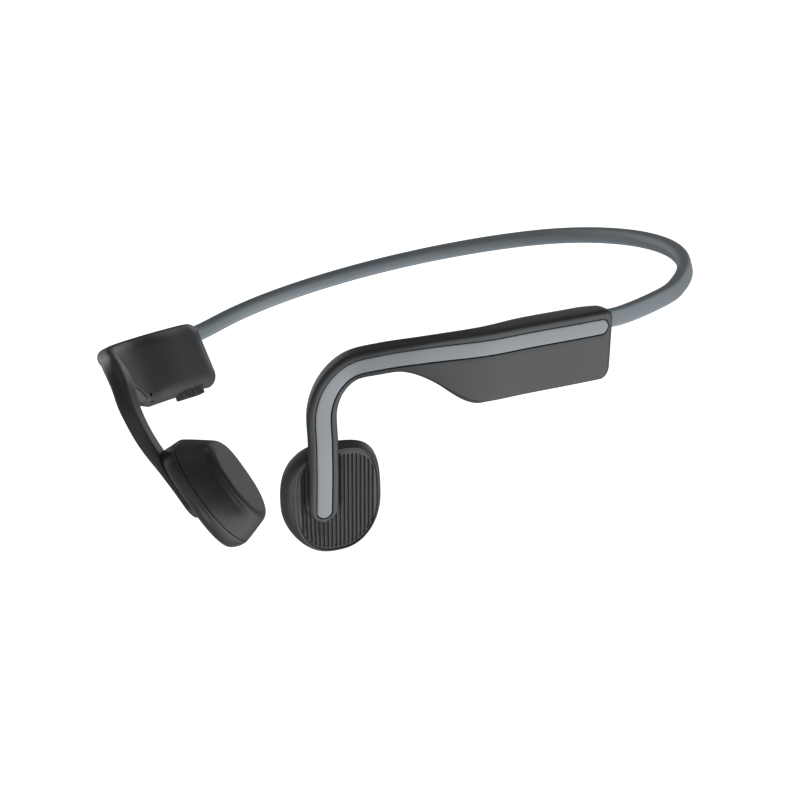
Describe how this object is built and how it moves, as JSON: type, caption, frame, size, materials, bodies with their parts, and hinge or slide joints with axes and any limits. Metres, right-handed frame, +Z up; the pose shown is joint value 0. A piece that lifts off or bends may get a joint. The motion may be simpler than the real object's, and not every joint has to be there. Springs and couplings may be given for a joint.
{
  "type": "bone conduction headphones",
  "caption": "Open-ear bone conduction headphones: sprung neckband, two pods with ear hooks, ribbed transducer cups with cheek pads, press keys and a charging port.",
  "frame": {"origin": "centre of the bounding box in plan, on the level of the lowest point, with the ear hooks level as worn", "axes": "+X to the wearer's left, the wearer faces -Y, +Z up"},
  "size_m": [0.1714, 0.1484, 0.0675],
  "materials": {
    "band_silicone": "matte silicone, cool mid grey",
    "spring_wire": "drawn nickel-titanium wire",
    "soft_touch_case": "soft-touch matte, dark grey",
    "pod_cover": "soft-touch matte, dark grey",
    "accent_strip": "satin light grey inlay",
    "ribbed_plate": "matte with fine moulded ribs",
    "cheek_pad": "matte silicone over the contact face",
    "key_rubber": "matte silicone keys",
    "steel": "plated sheet steel",
    "magnet": "nickel-plated magnet",
    "brass": "turned brass",
    "copper_coil": "enamelled copper winding",
    "bracket_plastic": "black moulded plastic",
    "battery_foil": "laminated foil pouch",
    "foam": "closed-cell foam",
    "circuit_board": "solder mask over fibreglass"
  },
  "bodies": {
    "neckband": {"neckband_rear": "band_silicone", "neckband_wire": "spring_wire"},
    "left_side": {"neckband_left": "band_silicone", "left_pod_case": "soft_touch_case", "left_pod_cover": "pod_cover", "left_ear_hook": "soft_touch_case", "left_accent_strip": "accent_strip", "left_hook_wire": "spring_wire", "left_band_ferrule": "brass", "left_battery": "battery_foil", "left_battery_pad": "foam", "left_battery_board": "circuit_board", "left_transducer_shell": "soft_touch_case", "left_cheek_pad": "cheek_pad", "left_exciter_yoke": "steel", "left_exciter_magnet": "magnet", "left_exciter_top_plate": "steel", "left_voice_coil": "copper_coil", "left_coil_bracket": "bracket_plastic", "left_spring_plate": "steel", "left_button_switch": "steel", "left_switch_board": "circuit_board"},
    "right_side": {"neckband_right": "band_silicone", "right_pod_case": "soft_touch_case", "right_pod_cover": "pod_cover", "right_ear_hook": "soft_touch_case", "right_accent_strip": "accent_strip", "right_hook_wire": "spring_wire", "right_band_ferrule": "brass", "right_main_board": "circuit_board", "right_bluetooth_chip": "bracket_plastic", "right_charge_chip": "bracket_plastic", "right_microphone": "steel", "right_usb_c_receptacle": "steel", "right_transducer_shell": "soft_touch_case", "right_transducer_cover": "ribbed_plate", "right_cheek_pad": "cheek_pad", "right_exciter_yoke": "steel", "right_exciter_magnet": "magnet", "right_exciter_top_plate": "steel", "right_voice_coil": "copper_coil", "right_coil_bracket": "bracket_plastic", "right_spring_plate": "steel", "volume_up_switch": "steel", "volume_down_switch": "steel"},
    "multifunction_key": {"left_multifunction_button": "ribbed_plate"},
    "volume_up_key": {"volume_up_button": "key_rubber"},
    "volume_down_key": {"volume_down_button": "key_rubber"},
    "port_cover": {"right_port_cover": "pod_cover"}
  },
  "joints": [
    {"name": "left_spread", "type": "hinge", "parent": "neckband", "child": "left_side", "pos_m": [0.05452, 0.05777, 0.06248], "axis": [0, -0.1894, 0.9819], "range_deg": [-4, 20], "stiffness_Nm_per_rad": 0.3, "deforming": ["neckband_wire"]},
    {"name": "right_spread", "type": "hinge", "parent": "neckband", "child": "right_side", "pos_m": [-0.05452, 0.05777, 0.06248], "axis": [0, 0.1894, -0.9819], "range_deg": [-4, 20], "stiffness_Nm_per_rad": 0.3, "deforming": ["neckband_wire"]},
    {"name": "multifunction_press", "type": "slide", "parent": "left_side", "child": "multifunction_key", "axis": [-0.7473, 0.4853, 0.454], "range_m": [0, 0.0004], "stiffness_N_per_m": 900},
    {"name": "volume_up_press", "type": "slide", "parent": "right_side", "child": "volume_up_key", "axis": [-0.2901, -0.0534, 0.9555], "range_m": [0, 0.0004], "stiffness_N_per_m": 700},
    {"name": "volume_down_press", "type": "slide", "parent": "right_side", "child": "volume_down_key", "axis": [-0.2901, -0.0534, 0.9555], "range_m": [0, 0.0004], "stiffness_N_per_m": 700},
    {"name": "port_cover_hinge", "type": "hinge", "parent": "right_side", "child": "port_cover", "pos_m": [-0.06274, -0.0456, 0.03889], "axis": [0.9155, 0.2752, 0.2933], "range_deg": [0, 100], "stiffness_Nm_per_rad": 0.0002}
  ]
}
